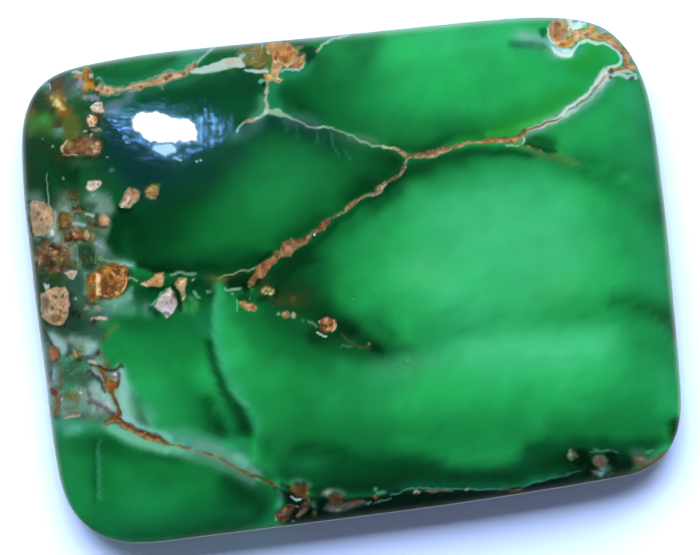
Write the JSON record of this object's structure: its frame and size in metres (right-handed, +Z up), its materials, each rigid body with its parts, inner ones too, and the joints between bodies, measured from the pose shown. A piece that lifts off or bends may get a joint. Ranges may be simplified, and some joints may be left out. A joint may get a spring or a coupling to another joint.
{
  "type": "variscite cabochon",
  "caption": "Polished green variscite cabochon: rounded-rectangle flat-backed gemstone with a low pillow dome and a web of tan and bluish matrix veins.",
  "frame": {"origin": "middle of the stone's outline, on the flat back that it rests on", "axes": "+Z up through the dome, +X along the stone's length, towards the end with the broad plain green field, +Y across it"},
  "size_m": [0.024, 0.0184, 0.0056],
  "materials": {
    "polished_variscite": "polished, waxy-glassy, with tan and grey-blue matrix veins"
  },
  "bodies": {
    "root": {"cabochon": "polished_variscite"}
  },
  "joints": []
}
